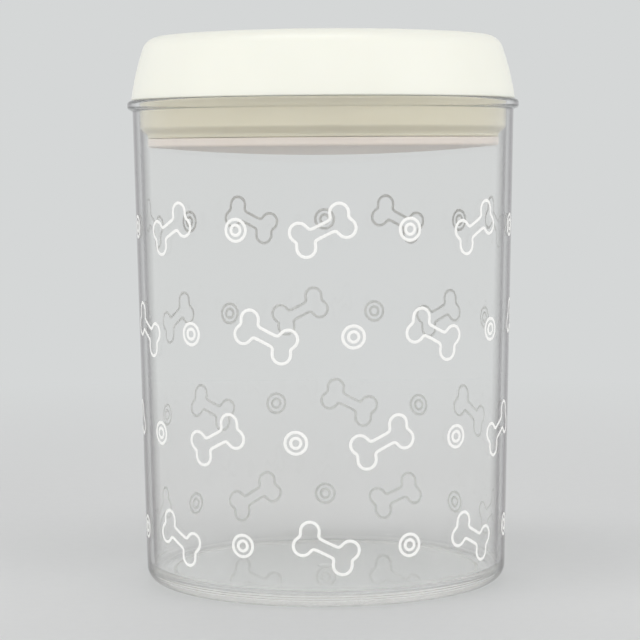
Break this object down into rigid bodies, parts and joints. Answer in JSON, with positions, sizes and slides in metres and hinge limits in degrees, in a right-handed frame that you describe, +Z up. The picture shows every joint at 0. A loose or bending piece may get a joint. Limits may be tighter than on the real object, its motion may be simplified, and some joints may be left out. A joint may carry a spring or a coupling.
{
  "type": "pet treat jar",
  "caption": "Clear tapering jar with an ivory lid: a flush flip handle draws up a pressure plate that squeezes the seal ring against the wall.",
  "frame": {"origin": "centre of the foot ring, on the surface that the jar stands on", "axes": "+Z up along the jar's axis, -Y to the front, where the handle's grip bar lies, +X to the right"},
  "size_m": [0.114, 0.114, 0.1602],
  "materials": {
    "clear_plastic": "polished clear",
    "ivory_plastic": "fine satin",
    "seal_rubber": "matt translucent",
    "plate_plastic": "satin",
    "frame_plastic": "as moulded",
    "steel": "bright drawn"
  },
  "bodies": {
    "jar": {"jar_body": "clear_plastic"},
    "lid": {"lid_cap": "ivory_plastic", "lid_base": "frame_plastic", "seal_ring": "seal_rubber", "return_spring": "steel", "pivot_pin": "steel", "cap_screws": "steel"},
    "handle": {"flip_handle": "ivory_plastic"},
    "plate": {"plate_cover": "plate_plastic", "plate_carrier": "frame_plastic", "lift_yoke": "frame_plastic", "follower_pin": "steel", "yoke_screw": "steel", "yoke_washer": "steel"}
  },
  "joints": [
    {"name": "lid_lift", "type": "slide", "parent": "jar", "child": "lid", "axis": [0, 0, 1], "range_m": [0, 0.06]},
    {"name": "handle_flip", "type": "hinge", "parent": "lid", "child": "handle", "pos_m": [0, 0, 0.154], "axis": [-1, 0, 0], "range_deg": [0, 90]},
    {"name": "plate_drop", "type": "slide", "parent": "lid", "child": "plate", "axis": [0, 0, -1], "range_m": [0, 0.003], "deforming": ["seal_ring", "return_spring"]}
  ],
  "couplings": [
    {"joint": "plate_drop", "follows": "handle_flip", "m_per_rad": 0.0019098}
  ]
}
